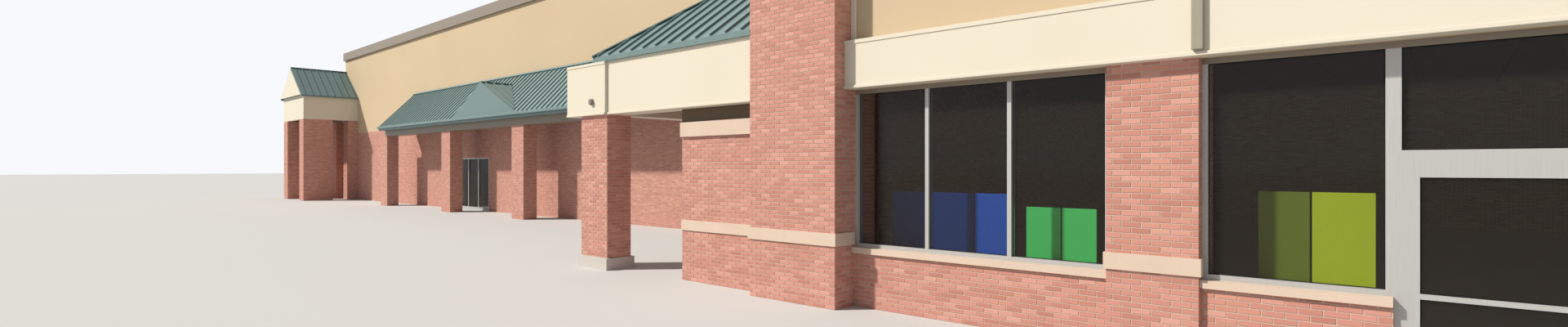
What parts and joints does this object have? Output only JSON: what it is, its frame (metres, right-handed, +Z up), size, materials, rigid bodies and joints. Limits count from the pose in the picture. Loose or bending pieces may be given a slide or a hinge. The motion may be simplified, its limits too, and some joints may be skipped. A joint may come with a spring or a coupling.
{
  "type": "garden centre building, half-size model",
  "caption": "Retail building with a glazed brick front, a sliding entrance, a hipped corner canopy, an arcade and a gabled tower, as a half-size model.",
  "frame": {"origin": "on the ground at the middle of the plan's outer box", "axes": "+X along the front to the right as seen from the street, +Y away from the street, +Z up"},
  "size_m": [36.58, 12.15, 5.2],
  "materials": {
    "brick": "red face brick, matte",
    "stucco": "tan stucco, matte",
    "cream": "cream stucco, matte",
    "stone": "cast stone, matte",
    "green_metal": "dark green standing seam metal, satin",
    "trim": "bronze painted trim",
    "concrete": "plain concrete",
    "deck": "light grey roofing",
    "glass": "dark tinted glass",
    "aluminium": "satin aluminium"
  },
  "bodies": {
    "building": {"arcade_beam": "trim", "arcade_columns": "brick", "awning_gable": "green_metal", "awning_roof": "green_metal", "corner_back_beam": "cream", "corner_column": "brick", "corner_column_base": "concrete", "corner_end_block": "cream", "corner_front_beam": "cream", "corner_hip_roof": "green_metal", "corner_ledge": "cream", "corner_parapet": "stucco", "corner_roof_board": "green_metal", "corner_side_beam": "cream", "corner_wall": "brick", "entrance_header": "aluminium", "entrance_jambs": "aluminium", "entrance_side_glass": "glass", "entrance_side_panels": "aluminium", "entrance_threshold": "concrete", "fascia_band": "cream", "front_piers": "brick", "knee_walls": "brick", "left_pylon": "brick", "low_back_wall": "brick", "low_parapet_caps": "trim", "low_right_wall": "brick", "low_roof_deck": "deck", "low_store_floor": "concrete", "pylon_caps": "stone", "right_pylon": "brick", "shared_wall": "brick", "shared_wall_front": "brick", "stone_courses": "stone", "storefront_lintel": "trim", "stucco_field": "stucco", "tall_back_wall": "stucco", "tall_brick_wall_left": "brick", "tall_brick_wall_over": "brick", "tall_brick_wall_right": "brick", "tall_cornice": "trim", "tall_left_wall": "stucco", "tall_right_wall": "stucco", "tall_roof_deck": "deck", "tall_store_floor": "concrete", "tall_stucco_wall": "stucco", "tall_window_frame": "aluminium", "tall_window_glass": "glass", "tower_boards": "stucco", "tower_piers": "brick", "tower_roof": "green_metal", "transom_frame": "aluminium", "transom_glass": "glass", "window_frames": "aluminium", "window_glass": "glass", "window_sills": "stone"},
    "left_leaf": {"left_door_leaf": "aluminium", "left_door_glass": "glass"},
    "right_leaf": {"right_door_leaf": "aluminium", "right_door_glass": "glass"}
  },
  "joints": [
    {"name": "right_door_slide", "type": "slide", "parent": "building", "child": "right_leaf", "axis": [1, 0, 0], "range_m": [0, 0.5]},
    {"name": "left_door_slide", "type": "slide", "parent": "building", "child": "left_leaf", "axis": [-1, 0, 0], "range_m": [0, 0.5]}
  ],
  "couplings": [
    {"joint": "left_door_slide", "follows": "right_door_slide", "ratio": 1}
  ]
}
